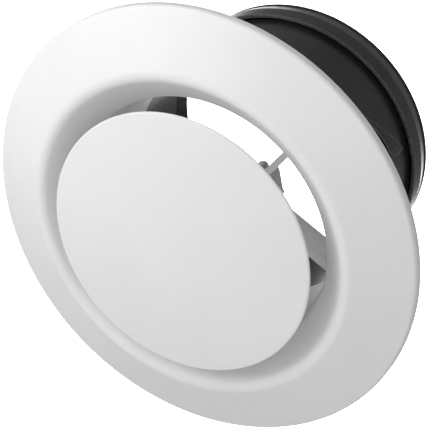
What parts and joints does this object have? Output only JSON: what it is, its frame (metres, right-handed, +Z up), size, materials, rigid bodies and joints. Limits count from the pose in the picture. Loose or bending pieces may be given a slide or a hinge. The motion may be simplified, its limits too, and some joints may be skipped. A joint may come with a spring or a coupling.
{
  "type": "ceiling air diffuser",
  "caption": "Round ceiling air diffuser: a crowned disc on a threaded spindle throttles the mouth of a wide face ring, locked into a duct collar.",
  "frame": {"origin": "centre of the ceiling's lower surface, where the collar's screw flange meets the ceiling", "axes": "+Z up along the duct, the face looks down along -Z"},
  "size_m": [0.15, 0.15, 0.0895],
  "materials": {
    "white_plastic": "satin",
    "black_plastic": "satin",
    "black_rubber": "matte",
    "grey_foam": "matte",
    "zinc_steel": "satin",
    "brass": "satin"
  },
  "bodies": {
    "collar": {"collar": "black_plastic", "duct_seal": "black_rubber"},
    "front": {"front_ring": "white_plastic", "bridge": "white_plastic", "hub_nut": "zinc_steel", "face_gasket": "grey_foam", "spigot_seal": "grey_foam"},
    "disc_washer": {"disc_washer": "zinc_steel"},
    "disc": {"disc": "white_plastic", "disc_insert": "brass", "disc_nut": "zinc_steel", "spindle": "zinc_steel"},
    "lock_nut": {"lock_nut": "zinc_steel", "lock_washer": "zinc_steel"}
  },
  "joints": [
    {"name": "front_turn", "type": "hinge", "parent": "collar", "child": "front", "pos_m": [0, 0, 0], "axis": [0, 0, 1], "range_deg": [0, 26]},
    {"name": "disc_travel", "type": "slide", "parent": "front", "child": "disc_washer", "axis": [0, 0, 1], "range_m": [-0.013, 0.011]},
    {"name": "disc_turn", "type": "hinge", "parent": "disc_washer", "child": "disc", "pos_m": [0, 0, 0], "axis": [0, 0, 1], "range_deg": [-6685, 5650]},
    {"name": "lock_nut_travel", "type": "slide", "parent": "front", "child": "lock_nut", "axis": [0, 0, 1], "range_m": [-0.003, 0]}
  ],
  "couplings": [
    {"joint": "disc_travel", "follows": "disc_turn", "m_per_rad": 0.00011141}
  ]
}
